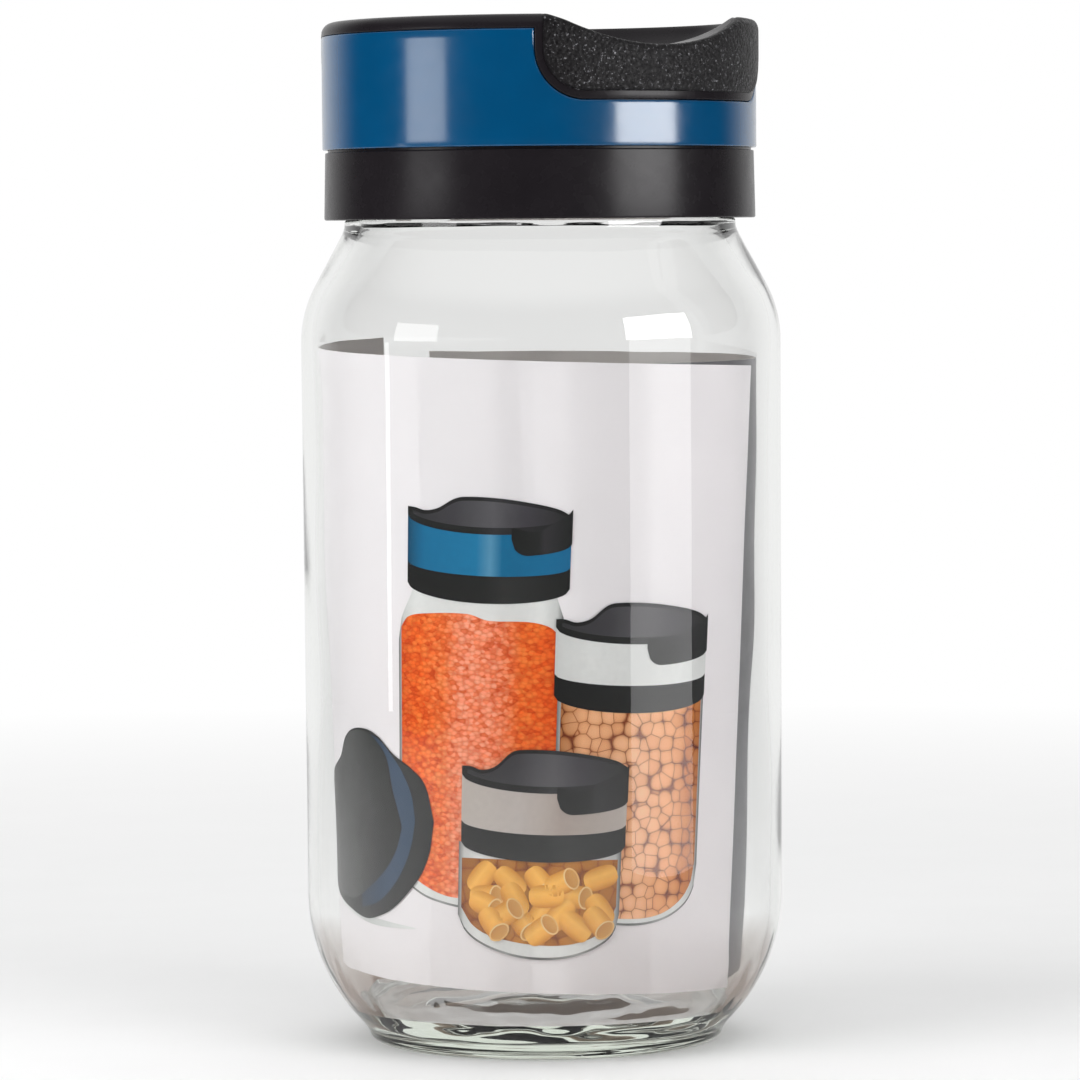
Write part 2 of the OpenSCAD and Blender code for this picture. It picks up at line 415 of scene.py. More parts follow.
# ---------------------------------------------------------------- materials
FINE_BUMP = 2e-5
GLASS_SHADE = (0.96, 0.98, 0.97, 1)
GLASS_DEPTH = (0.80, 0.86, 0.76, 1)
GLASS_DENSITY = 16
PLASTIC_BLACK = (0.0125, 0.0105, 0.0125)
# Near-black grain tones, and light grey specks that are painted glints of the grain.
GRIP_BLACKS_AND_GLINTS = [(0.35, (0.004, 0.0035, 0.004)), (0.60, (0.010, 0.009, 0.010)), (0.68, (0.30, 0.30, 0.32))]


def glass_material():
    """Clear glass with a faint green depth, that lets the light in past its shadow."""
    s = Shader("clear_glass", Base_Color=(1, 1, 1, 1), Roughness=0.0, IOR=1.5)
    s.bsdf.inputs["Transmission Weight"].default_value = 1
    s.bump(s.noise(70, detail=1, stretch=(1, 1, 0.45)), 0.05, 0.0004)
    clear = s.add("ShaderNodeBsdfTransparent", {"Color": GLASS_SHADE}).outputs[0]
    shadow = s.add("ShaderNodeLightPath").outputs["Is Shadow Ray"]
    s.links.new(s.blend(shadow, s.bsdf.outputs[0], clear), s.surface)
    depth = s.add("ShaderNodeVolumeAbsorption", {"Color": GLASS_DEPTH, "Density": GLASS_DENSITY})
    s.links.new(depth.outputs[0], s.nodes["Material Output"].inputs["Volume"])
    return s.mat


def grip_material():
    """Black plastic with a coarse spark-eroded grain. Its glitter comes partly from the bump and gloss and
    partly from light grey specks painted into its colour as glints.
    """
    s = Shader("grip_grain_and_glints", Specular_IOR_Level=0.16)
    coarse = s.cells(1100, randomness=1.0)
    fine = s.noise(1500, detail=4, rough=0.75)
    # The light grey specks in this ramp are painted glints.
    s.join(s.ramp(fine, GRIP_BLACKS_AND_GLINTS))
    s.rough(1700, 0.30, 0.5, noise_low=0.35, noise_high=0.65)
    s.bump(s.maths("MULTIPLY", coarse, fine), 1.0, 0.00045)
    return s.mat


def silicone_material():
    """Milky translucent seal."""
    s = Shader("seal_silicone", Specular_IOR_Level=0.4)
    s.bsdf.inputs["Subsurface Weight"].default_value = 0.3
    s.bsdf.inputs["Subsurface Scale"].default_value = 0.002
    s.join(s.wander(180, (0.76, 0.76, 0.73), (0.84, 0.84, 0.82)))
    s.rough(400, 0.42, 0.52)
    s.bump(s.noise(1200), 0.2, FINE_BUMP)
    return s.mat


GLASS = glass_material()
BLACK = mottled("satin_black", PLASTIC_BLACK, 0.28, grain=2600, bump=0.2, Specular_IOR_Level=0.14)
RING_BLACK = mottled("satin_charcoal", PLASTIC_BLACK, 0.27, grain=2600, bump=0.2, Specular_IOR_Level=0.15)
BLUE = mottled("gloss_blue", (0.0, 0.060, 0.158), 0.17, grain=500, spread=0.04, bump=0.05,
               Coat_Weight=0.3, Coat_Roughness=0.12)
GRIP = grip_material()
SILICONE = silicone_material()
PAPER = mottled("paper_white", (0.86, 0.815, 0.845), 0.42, grain=90, spread=0.01, bump=0.02,
                Specular_IOR_Level=0.2)
PAPER_GREY = mottled("paper_dark_grey", (0.105, 0.10, 0.11), 0.40, grain=90, spread=0.04, bump=0.02)
# The inner faces and cut edges are painted darker beige-grey than the white paper: painted shade inside the
# jar.
PAPER_INSIDE_SHADED = mottled("paper_inside_shaded", (0.66, 0.61, 0.60), 0.55, grain=90, spread=0.04, bump=0.02)


# ---------------------------------------------------------------- glass jar
def arc_angle(size, z, mid_z):
    """Angle at which an arc crosses a height."""
    return math.degrees(math.asin((z - mid_z) / size))


def shoulder_end():
    """Height of the shoulder arc's middle, from where the straight slope meets the bead."""
    slope = math.radians(SHOULDER_SLOPE)
    end_r = SHOULDER_MID_R + SHOULDER_R * math.cos(slope)
    fillet = 0.9
    foot_r = BEAD_R + fillet * (1 - math.cos(slope))
    end_z = BEAD_LOW_Z - fillet * math.sin(slope) - (end_r - foot_r) / math.tan(slope)
    return end_z - SHOULDER_R * math.sin(slope)


SHOULDER_MID_Z = shoulder_end()


def subdivided(path, step):
    """Path with points added so that no two are further apart than a step."""
    result = [path[0]]
    for a, b in zip(path, path[1:]):
        count = max(1, math.ceil(math.dist(a, b) / step))
        for i in range(1, count + 1):
            result.append(between(a, b, i / count))
    return result


def jar_outside():
    """Foot, heel, shoulder and bead."""
    fillet_z = BEAD_LOW_Z + 0.8
    foot = [(FOOT_OUT_R, 0)] + arc(FOOT_SIDE_R - FOOT_CORNER_R, FOOT_CORNER_R, FOOT_CORNER_R, -60, 0, 6)
    heel = arc(HEEL_MID_R, HEEL_TOP_Z, HEEL_R, arc_angle(HEEL_R, FOOT_Z + 0.3, HEEL_TOP_Z), 0, 30)
    shoulder = arc(SHOULDER_MID_R, SHOULDER_MID_Z, SHOULDER_R, 0, SHOULDER_SLOPE, 10)
    bead = arc(BEAD_R + BEAD_FILLET, fillet_z, BEAD_FILLET, 180 + SHOULDER_SLOPE, 180, 8)
    bead += arc(BEAD_R - 0.5, BEAD_TOP_Z - 0.5, 0.5, 0, 60, 4) + [(NECK_R, NECK_Z)]
    return foot + heel + shoulder + bead


def jar_inside():
    """Mouth, shoulder, heel and floor."""
    slope = math.radians(SHOULDER_SLOPE)
    shoulder_r = SHOULDER_R - WALL
    heel_r = HEEL_R - WALL
    end = (SHOULDER_MID_R + shoulder_r * math.cos(slope), SHOULDER_MID_Z + shoulder_r * math.sin(slope))
    inside = rounded([
        (MOUTH_R, NECK_Z + 6, 0), (MOUTH_R, NECK_Z + 3.5, 2), (NECK_INSIDE_R, NECK_Z + 0.5, 1.5),
        (NECK_INSIDE_R, BEAD_LOW_Z - 0.6, 4), (*end, 0),
    ], steps=10)[1:-1]
    inside += arc(SHOULDER_MID_R, SHOULDER_MID_Z, shoulder_r, SHOULDER_SLOPE, 0, 10)
    inside += arc(HEEL_MID_R, HEEL_TOP_Z, heel_r, 0, arc_angle(heel_r, FLOOR_Z + 1.2, HEEL_TOP_Z), 26)
    return inside + [(HEEL_MID_R + 13.5, FLOOR_Z + 0.25), (HEEL_MID_R + 8, FLOOR_Z), (0, FLOOR_Z + 0.6)]


def jar_profile():
    """Whole section of the glass: underside, outside, rim, inside and floor."""
    under = [(0, PUNT_Z), (FOOT_IN_R - 8, PUNT_Z - 0.8)] + arc(FOOT_IN_R - 0.2, 0.9, 0.9, -100, -90, 2)
    neck = subdivided([(NECK_R, NECK_Z), (NECK_R, JAR_H - 1)], THREAD_STEP)
    rim = arc(NECK_R - 1, JAR_H - 1, 1, 0, 90, 5) + arc(MOUTH_R + 1, JAR_H - 1, 1, 90, 180, 5)
    return under + subdivided(jar_outside(), 3) + neck + rim + subdivided(jar_inside(), 3)


def jar_shape(r, azimuth, z):
    """Thread on the neck, and the unevenness of pressed and blown glass on both faces."""
    outer = wall_middle_r(z)
    if r >= NECK_R - 0.01 and z > NECK_Z:
        return r + thread_height(azimuth, z, JAR_THREAD_Z, JAR_THREAD_SWEEP, 0, JAR_THREAD_DEPTH), z
    if z < FOOT_Z or z > NECK_Z - 2 or r < 2:
        return r, z
    x, y, _ = polar(r, azimuth, z)
    inside = r < outer
    low = 1 - smooth_step((z - 8) / 22)
    high = smooth_step((z - 142) / 12)
    size = (0.10 if inside else 0.02) + low * (0.08 if inside else 0.03) + high * (0.03 if inside else 0.01)
    wave = noise.noise(Vector((x * 0.09, y * 0.09, z * 0.035 + (40 if inside else 0))))
    ripple = noise.noise(Vector((x * 0.3, y * 0.3, z * 0.16 + (90 if inside else 50)))) * low
    if inside and z < FLOOR_Z + 4 and r < HEEL_MID_R + 20:
        return r, z + 0.35 * wave
    shift = size * (wave + 0.5 * ripple)
    return min(r + shift, BODY_R), z


def wall_middle_r(z):
    """Radius halfway through the side wall at a height."""
    if z < HEEL_TOP_Z:
        size = HEEL_R - WALL / 2
        return HEEL_MID_R + math.sqrt(max(size ** 2 - (HEEL_TOP_Z - z) ** 2, 0))
    if z > SHOULDER_MID_Z:
        size = SHOULDER_R - WALL / 2
        over = min(z - SHOULDER_MID_Z, size * 0.5)
        straight = max(z - SHOULDER_MID_Z - size * 0.5, 0) * 0.54
        return SHOULDER_MID_R + math.sqrt(size ** 2 - over ** 2) - straight
    return BODY_R - WALL / 2 - 0.2


def inner_wall_r(z):
    """Inside radius of the glass at a height."""
    return wall_middle_r(z) - WALL / 2 - 0.15


def build_jar():
    """Glass with its foot, heel, shoulder, bead and threaded neck."""
    jar = turned("jar_glass", jar_profile(), [GLASS], columns=288, closed=False, shape=jar_shape)
    belongs(jar, "jar", "glass", "glass_jar")


# ---------------------------------------------------------------- lid turned parts
def build_lower_ring():
    """Ring round the lid's foot, with a spigot inside the band."""
    ring_r = LID_R - 0.25
    profile = rounded([
        (BORE_R + 0.4, LID_Z, 0.2), (ring_r, LID_Z, 0.45), (LID_R - 0.55, RING_TOP_Z, 0.4),
        (BAND_IN_R + 0.5, RING_TOP_Z, 0.05), (BAND_IN_R + 0.5, BAND_Z, 0.05), (COLLAR_OUT_R, BAND_Z, 0.05),
        (COLLAR_OUT_R, RING_HIGH.z, 0.1), (COLLAR_OUT_R - 0.8, RING_HIGH.z, 0.1),
        (COLLAR_OUT_R - 0.8, LID_Z + RING_LIP, 0.1), (BORE_R + 0.4, LID_Z + RING_LIP, 0.1),
    ])
    belongs(turned("lid_lower_ring", profile, [RING_BLACK]), "lid", "black_plastic", "lower_ring")


def build_gasket():
    """Flat seal over the glass rim."""
    inside_r = -SEAL_LOW.x - SEAL_WIDTH
    profile = rounded([
        (inside_r, SEAL_LOW.z, 0.5), (SEAL_HIGH.x, SEAL_LOW.z, 0.5),
        (SEAL_HIGH.x, SEAL_HIGH.z, 0.3), (inside_r, SEAL_HIGH.z, 0.3),
    ])
    belongs(turned("seal_ring", profile, [SILICONE]), "seal", "seal", "gasket")


def screw_cap_shape(r, azimuth, z):
    """Thread inside the bore."""
    if abs(r - BORE_R) > 0.01 or z > DISC_Z - 1:
        return r, z
    turn = 360 / STARTS / 2
    return r - thread_height(azimuth, z, CAP_THREAD_Z, CAP_THREAD_SWEEP, turn, CAP_THREAD_DEPTH), z


def build_screw_cap():
    """Inner cap with the thread, the disc over the mouth and the plug in it."""
    low_z = LID_Z + RING_LIP
    plug_out_r = MOUTH_R - 1
    plug_in_r = plug_out_r - 1.6
    bore = subdivided([(BORE_R, DISC_Z), (BORE_R, low_z + 0.3)], THREAD_STEP)
    plug = rounded([
        (plug_in_r, DISC_Z, 0.4), (plug_in_r, JAR_H - 1, 0.5), (plug_out_r, JAR_H - 1, 0.5),
        (plug_out_r, DISC_Z, 0),
    ])
    outside = rounded([
        (BORE_R + 0.2, low_z, 0.1), (SCREW_HIGH.x, low_z, 0.2), (SCREW_HIGH.x, DISC_TOP_Z, 0.4),
        (0, DISC_TOP_Z, 0),
    ])
    profile = [(0, DISC_Z)] + plug + bore + outside
    cap = turned("lid_screw_cap", profile, [BLACK], closed=False, shape=screw_cap_shape)
    belongs(cap, "lid", "black_plastic", "screw_cap")


# ---------------------------------------------------------------- wing outline
def outline_side(inset, top_z):
    """Half of a wing's outline from its low middle round the corner up to a height."""
    corner = WING_CORNER - inset
    end = WING_HALF - inset
    low = WING_LOW_Z + inset
    path = [(0, low), (end - corner, low)]
    for i in range(1, 25):
        a = math.radians(90 * i / 24)
        path.append((end - corner + corner * math.sin(a), low + corner - corner * math.cos(a)))
    path.append((end, top_z))
    return path


def along(path, share):
    """Point at a share of a path's length."""
    lengths = [math.dist(a, b) for a, b in zip(path, path[1:])]
    goal = share * sum(lengths)
    for (a, b), length in zip(zip(path, path[1:]), lengths):
        if goal <= length or b is path[-1]:
            return between(a, b, min(goal / length if length else 0, 1))
        goal -= length


def wing_outline(inset, top_z, columns):
    """Points along a whole wing's outline, from its left top to its right top."""
    half = outline_side(inset, top_z)
    points = []
    for i in range(columns + 1):
        share = 2 * i / columns - 1
        s, z = along(half, abs(share))
        points.append((math.copysign(s, share), z))
    return points


def ring_columns(inset):
    """Azimuths round the lid that meet both wings' ends, each with its place in a wing or None."""
    half = math.degrees((WING_HALF - inset) / LID_R)
    result = []
    for mid in WING_MIDS:
        for i in range(WING_COLUMNS + 1):
            result.append((mid - half + 2 * half * i / WING_COLUMNS, i))
        free = 180 - 2 * half
        steps = round(free)
        for i in range(1, steps):
            result.append((mid + half + free * i / steps, None))
    return result


def edge_path(inset, flat_z, top_z):
    """Lower edge of the cap, or upper edge of the band: one (arc length, height) for each column."""
    outline = wing_outline(inset, top_z, WING_COLUMNS)
    columns = ring_columns(inset)
    path = []
    for index, (azimuth, place) in enumerate(columns):
        if place is None:
            path.append((math.radians(azimuth) * LID_R, flat_z))
        else:
            mid = WING_MIDS[0] if index < len(columns) // 2 else WING_MIDS[1]
            s, z = outline[place]
            path.append((math.radians(mid) * LID_R + s, z))
    return path


def shifted(path, distance):
    """Closed path round the lid moved sideways, upwards where it runs level."""
    turn = 2 * math.pi * LID_R
    count = len(path)
    result = []
    for i, here in enumerate(path):
        before = path[i - 1]
        after = path[(i + 1) % count]
        if i == 0:
            before = (before[0] - turn, before[1])
        if i == count - 1:
            after = (after[0] + turn, after[1])
        normals = []
        for a, b in ((before, here), (here, after)):
            d = Vector((b[0] - a[0], b[1] - a[1]))
            if d.length > 1e-6:
                d.normalize()
                normals.append(Vector((-d.y, d.x)))
        mean = sum(normals, Vector((0, 0)))
        mean.normalize()
        reach = distance / max(mean.dot(normals[0]), 0.5)
        result.append((here[0] + mean.x * reach, here[1] + mean.y * reach))
    return result


def on_lid(r, place):
    """Point at a radius over an (arc length, height) place on the lid's wall."""
    return polar(r, math.degrees(place[0] / LID_R), place[1])


# ---------------------------------------------------------------- top cap
def valley_z(r, azimuth):
    """Height of the finger valley's floor. It is flatter towards the wings' tips."""
    turn = math.radians(azimuth - VALLEY_TURN)
    side = r * math.sin(turn)
    if math.cos(turn) < 0:
        side = -side
    size = VALLEY_TIP_R if side > 0 else VALLEY_NEAR_R
    side = min(abs(side), 0.98 * size)
    return CREST_Z - VALLEY_DEPTH + size - math.sqrt(size ** 2 - side ** 2)


def dish_z(r):
    """Height of the dished top."""
    low = CREST_Z - DISH_DEPTH
    if r < DISH_FLOOR_R:
        return low + DISH_SAG * (r / DISH_FLOOR_R) ** 2
    out = min(r - DISH_FLOOR_R, DISH_WALL_R * 0.97)
    hollow = low + DISH_SAG + DISH_WALL_R - math.sqrt(DISH_WALL_R ** 2 - out ** 2)
    return smooth_min(hollow, CREST_Z, 1.0)


def top_z(r, azimuth):
    """Height of the cap's upper face."""
    return smooth_min(dish_z(r), valley_z(r, azimuth), 0.5)


def edge_radius(azimuth):
    """Rounding of the cap's outer edge: large on the rim and small along the valley."""
    depth = CREST_Z - valley_z(LID_R - VALLEY_EDGE_R, azimuth)
    return RIM_R - (RIM_R - VALLEY_EDGE_R) * smooth_step((depth + 0.8) / 2.6)


def cap_edge(azimuth):
    """Radius and height where the upper face ends and the edge's rounding starts."""
    size = edge_radius(azimuth)
    r = LID_R - size
    return r, top_z(r, azimuth), size


def build_top_cap():
    """Dished top, rounded rim and both hanging wings as one closed shell with its collar."""
    columns = ring_columns(0)
    azimuths = [a for a, _ in columns]
    lower = edge_path(0, BAND_TOP_Z + 0.05, BAND_TOP_Z + 0.05)
    lower_in = shifted(lower, CAP_EDGE_BREAK)
    lower_mid = shifted(lower, CAP_EDGE_BREAK * 0.28)
    rows = []
    for share in (0, 0.25, 0.5, 0.75):
        rows.append([polar(DISH_FLOOR_R * share, a, top_z(DISH_FLOOR_R * share, a)) for a in azimuths])
    steps = 30
    for i in range(steps + 1):
        t = 1 - (1 - i / steps) ** 1.4
        row = []
        for a in azimuths:
            r = DISH_FLOOR_R + (cap_edge(a)[0] - DISH_FLOOR_R) * t
            row.append(polar(r, a, top_z(r, a)))
        rows.append(row)
    for k in range(1, 8):
        turn = math.radians(90 * k / 7)
        row = []
        for a in azimuths:
            r, z, size = cap_edge(a)
            row.append(polar(r + size * math.sin(turn), a, z - size * (1 - math.cos(turn))))
        rows.append(row)
    fan = 12
    for i in range(1, fan + 1):
        row = []
        for a, inner in zip(azimuths, lower_in):
            _, z, size = cap_edge(a)
            start = (math.radians(a) * LID_R, min(z - size, CREST_Z - RIM_R - 0.1))
            row.append(on_lid(LID_R, between(start, inner, i / fan)))
        rows.append(row)
    rows.append([on_lid(LID_R - CAP_EDGE_BREAK * 0.28, p) for p in lower_mid])
    rows.append([on_lid(LID_R - CAP_EDGE_BREAK, p) for p in lower])
    rows.append([on_lid(COLLAR_OUT_R, p) for p in lower])
    rows.append([polar(COLLAR_OUT_R, a, COLLAR_Z + 0.2) for a in azimuths])
    rows.append([polar(COLLAR_OUT_R - 0.2, a, COLLAR_Z) for a in azimuths])
    rows.append([polar(COLLAR_IN_R, a, COLLAR_Z) for a in azimuths])
    roof_z = CREST_Z - DISH_DEPTH - ROOF_T
    rows.append([polar(COLLAR_IN_R, a, roof_z) for a in azimuths])
    rows.append([(0, 0, roof_z)] * len(azimuths))
    belongs(shell("lid_top_cap", rows, BLACK), "lid", "black_plastic", "top_cap")


# ---------------------------------------------------------------- colour band
def build_colour_band():
    """Ring whose upper edge runs down round both wings."""
    columns = ring_columns(-BAND_GAP)
    azimuths = [a for a, _ in columns]
    upper = edge_path(-BAND_GAP, BAND_TOP_Z, BAND_TOP_Z)
    upper_in = shifted(upper, -BAND_FILLET)
    upper_mid = shifted(upper, -BAND_FILLET * 0.29)
    rows = [[polar(BAND_IN_R, a, BAND_Z) for a in azimuths]]
    for k in range(5):
        turn = math.radians(90 * k / 4)
        r = LID_R - BAND_FILLET * (1 - math.sin(turn))
        rows.append([polar(r, a, BAND_Z + BAND_FILLET * (1 - math.cos(turn))) for a in azimuths])
    fan = 14
    for i in range(1, fan + 1):
        row = []
        for a, end in zip(azimuths, upper_in):
            start = (math.radians(a) * LID_R, BAND_Z + BAND_FILLET)
            row.append(on_lid(LID_R, between(start, end, i / fan)))
        rows.append(row)
    rows.append([on_lid(LID_R - BAND_FILLET * 0.29, p) for p in upper_mid])
    rows.append([on_lid(LID_R - BAND_FILLET, p) for p in upper])
    rows.append([on_lid(BAND_IN_R, p) for p in upper])
    rows.append(rows[0])
    belongs(shell("lid_colour_band", rows, BLUE), "lid", "band", "colour_band")


# ---------------------------------------------------------------- grip pads
def pad_rise(s, z):
    """How far the pad stands off the wing at a place on it, counted from the wing's middle."""
    corner = WING_CORNER - PAD_BORDER
    end = WING_HALF - PAD_BORDER
    across = abs(s) - (end - corner)
    down = WING_LOW_Z + PAD_BORDER + corner - z
    outside = math.hypot(max(across, 0), max(down, 0))
    edge = corner - outside - min(max(across, down), 0)
    t = min(max(edge / 1.0, 0), 1)
    return PAD_PROUD * math.sqrt(1 - (1 - t) ** 2)


def build_grip_pad(name, mid, node):
    """Pad that follows the wing from its lower outline up over the rim."""
    half = math.degrees((WING_HALF - PAD_BORDER) / LID_R)
    outline = wing_outline(PAD_BORDER, CREST_Z - RIM_R - 0.2, PAD_COLUMNS)
    azimuths = []
    for i in range(PAD_COLUMNS + 1):
        t = i / PAD_COLUMNS
        t = 0.75 * t + 0.25 * (0.5 - 0.5 * math.cos(math.pi * t))
        azimuths.append(mid - half + 2 * half * t)
    mid_s = math.radians(mid) * LID_R
    outer = [[on_lid(LID_R - PAD_SKIRT, (mid_s + s, z)) for s, z in outline]]
    fractions = (0, 0.012, 0.03, 0.06, 0.1, 0.16, 0.24, 0.33, 0.43, 0.53, 0.63, 0.73, 0.82, 0.91, 1)
    for t in fractions:
        row = []
        for a, (s, z) in zip(azimuths, outline):
            _, edge_z, size = cap_edge(a)
            start_s = math.radians(a) * LID_R - mid_s
            start_z = min(edge_z - size, CREST_Z - RIM_R - 0.1)
            here = between((s, z), (start_s, start_z), t)
            row.append(on_lid(LID_R + pad_rise(*here), (mid_s + here[0], here[1])))
        outer.append(row)
    for k in range(1, 9):
        turn = math.radians(90 - 80 * k / 8)
        row = []
        for a in azimuths:
            r, z, size = cap_edge(a)
            rise = pad_rise(math.radians(a) * LID_R - mid_s, z - size) * smooth_step((9 - k) / 6)
            reach = size + rise - (PAD_SINK if k == 8 else 0)
            row.append(polar(r + reach * math.sin(turn), a, z - size + reach * math.cos(turn)))
        outer.append(row)
    inner = []
    for row in reversed(outer):
        inner.append([(x * PAD_SHRINK, y * PAD_SHRINK, z - PAD_SINK) for x, y, z in row])
    rows = outer + inner + [outer[0]]
    points = [p for row in rows for p in row]
    width = PAD_COLUMNS + 1
    faces = grid_faces(len(rows), width)
    count = len(outer)
    for r in range(count - 1):
        back = len(rows) - 2 - r
        for c in (0, PAD_COLUMNS):
            faces.append((r * width + c, (r + 1) * width + c, (back - 1) * width + c, back * width + c))
    pad = make_piece(name, points, faces, [GRIP], sharp=60)
    belongs(pad, "lid", "grip", node)


# ---------------------------------------------------------------- leaflets
class Sheet:
    """Rectangle of paper that leans on the inside of the glass, tilted in its own plane."""

    def __init__(self, mid_azimuth, mid_z, tilt, inset, seed):
        self.mid = mid_azimuth
        self.mid_z = mid_z
        self.tilt = math.radians(tilt)
        self.inset = inset
        self.seed = seed

    def point(self, x, y, out=0):
        """Point for a place on the flat sheet, measured from its middle, and a distance off its face."""
        s = x * math.cos(self.tilt) + y * math.sin(self.tilt)
        z = self.mid_z - x * math.sin(self.tilt) + y * math.cos(self.tilt)
        share = (z - SHEET_Z) / SHEET_H
        r = SHEET_FOOT_R + (SHEET_TOP_R - SHEET_FOOT_R) * share - self.inset
        r += SHEET_WAVE * noise.noise(Vector((x * 0.05, y * 0.03, self.seed)))
        r = min(r, inner_wall_r(z) - SHEET_GAP - self.inset * 0.5)
        return polar(r + out, self.mid + math.degrees(s / SHEET_MEAN_R), z)


FRONT_SHEET = Sheet(-35.7, 77.9, 2.1, 0, 3)
REAR_SHEET = Sheet(115.2, 76.6, -0.4, LAP_INSET, 8)


def build_sheet(name, sheet, front, back, node, slot):
    """Sheet with a printed outer face, cut edges and an inner face in a darker paper colour that is painted
    shade.
    """
    wide = 150
    tall = 40
    points = []
    for out in (0, -SHEET_T):
        for j in range(tall + 1):
            for i in range(wide + 1):
                points.append(sheet.point(SHEET_L * (i / wide - 0.5), SHEET_H * (j / tall - 0.5), out))
    faces = grid_faces(tall + 1, wide + 1)
    slots = [0] * len(faces)
    under = grid_faces(tall + 1, wide + 1, first=(tall + 1) * (wide + 1))
    faces += under
    slots += [1] * len(under)
    shift = (tall + 1) * (wide + 1)
    for i in range(wide):
        faces.append((i, i + 1, i + 1 + shift, i + shift))
        top = tall * (wide + 1) + i
        faces.append((top, top + 1, top + 1 + shift, top + shift))
    for j in range(tall):
        left = j * (wide + 1)
        for a in (left, left + wide):
            faces.append((a, a + wide + 1, a + wide + 1 + shift, a + shift))
    slots += [1] * (len(faces) - len(slots))
    piece = make_piece(name, points, faces, [front, back], merge=False, face_slots=slots)
    belongs(piece, "jar", slot, node)


# ---------------------------------------------------------------- picture on the front leaflet
def curve(*knots):
    """Smooth function through (x, y) knots in order of x."""
    slopes = []
    for i in range(len(knots)):
        a = knots[max(i - 1, 0)]
        b = knots[min(i + 1, len(knots) - 1)]
        slopes.append((b[1] - a[1]) / (b[0] - a[0]))

    def height(x):
        i = 0
        while i < len(knots) - 2 and x > knots[i + 1][0]:
            i += 1
        x0, y0 = knots[i]
        x1, y1 = knots[i + 1]
        t = min(max((x - x0) / (x1 - x0), 0), 1)
        m0 = slopes[i] * (x1 - x0)
        m1 = slopes[i + 1] * (x1 - x0)
        low = (2 * t ** 3 - 3 * t * t + 1) * y0 + (t ** 3 - 2 * t * t + t) * m0
        return low + (3 * t * t - 2 * t ** 3) * y1 + (t ** 3 - t * t) * m1

    return height


def sagging(mid, half, edge_y, sag):
    """Lower half of an ellipse, as the edge of a round lid seen from above."""
    def height(x):
        return edge_y - sag * math.sqrt(max(1 - ((x - mid) / half) ** 2, 0))
    return height


class Picture:
    """Thin flat patches on a sheet, gathered into one mesh with two UV maps."""

    LAYER = 0.025

    def __init__(self, sheet):
        self.sheet = sheet
        self.points = []
        self.faces = []
        self.slots = []
        self.flat = []
        self.local = []
        self.materials = []

    def vertex(self, x, y, layer, u, v):
        self.points.append(self.sheet.point(x, y, self.LAYER * (layer + 1)))
        self.flat.append((x * 0.01, y * 0.01))
        self.local.append((u, v))

    def use(self, mat, count):
        if mat not in self.materials:
            self.materials.append(mat)
        self.slots += [self.materials.index(mat)] * count

    def patch(self, mat, layer, left, right, low, high):
        """Area between two curves from one side to the other."""
        columns = max(6, math.ceil((right - left) / 0.7))
        places = [left + (right - left) * k / 8 for k in range(9)]
        tall = max(abs(high(x) - low(x)) for x in places)
        rows = max(1, math.ceil(tall / 3))
        first = len(self.points)
        for j in range(rows + 1):
            for i in range(columns + 1):
                u = i / columns
                v = j / rows
                x = left + (right - left) * u
                y = low(x) + (high(x) - low(x)) * v
                self.vertex(x, y, layer, u, v)
        faces = grid_faces(rows + 1, columns + 1, first=first)
        self.faces += faces
        self.use(mat, len(faces))

    def blob(self, mat, layer, mid, half_w, half_h, turn, power=2.0):
        """Rounded spot, from an ellipse at power 2 to nearly a rectangle at higher powers."""
        first = len(self.points)
        count = 20
        c = math.cos(turn)
        s = math.sin(turn)
        self.vertex(mid[0], mid[1], layer, 0.5, 0.5)
        for share in (1 / 3, 2 / 3, 1):
            for i in range(count):
                a = 2 * math.pi * i / count
                x = share * math.copysign(abs(math.cos(a)) ** (2 / power), math.cos(a))
                y = share * math.copysign(abs(math.sin(a)) ** (2 / power), math.sin(a))
                dx = x * half_w
                dy = y * half_h
                place = (mid[0] + c * dx - s * dy, mid[1] + s * dx + c * dy)
                self.vertex(*place, layer, 0.5 + x / 2, 0.5 + y / 2)
        faces = [(first, first + 1 + i, first + 1 + (i + 1) % count) for i in range(count)]
        faces += grid_faces(3, count, wrap=True, first=first + 1)
        self.faces += faces
        self.use(mat, len(faces))

    def build(self, name):
        """The mesh object of all patches."""
        piece = make_piece(name, self.points, self.faces, self.materials, merge=False, face_slots=self.slots)
        for title, places in (("flat", self.flat), ("local", self.local)):
            layer = piece.data.uv_layers.new(name=title)
            for loop in piece.data.loops:
                layer.data[loop.index].uv = places[loop.vertex_index]
        return piece


INK_SPECULAR = 0.12
INK_ROUGH = 0.42
BALL_SHADE = [(0.1, (1.0, 1.0, 1.0)), (0.42, (0.94, 0.91, 0.88)), (0.60, (0.82, 0.73, 0.63))]


def ink(name, stops, along="X"):
    """Flat printed colour that changes along or across its patch, with faint mottling."""
    s = Shader(name, Specular_IOR_Level=INK_SPECULAR)
    tone = s.ramp(s.part(s.uv("local"), along), stops)
    s.join(s.vectors("MULTIPLY", tone, s.wander(900, (0.94, 0.94, 0.94), (1.0, 1.0, 1.0))))
    s.rough(300, INK_ROUGH - 0.02, INK_ROUGH + 0.02)
    return s.mat


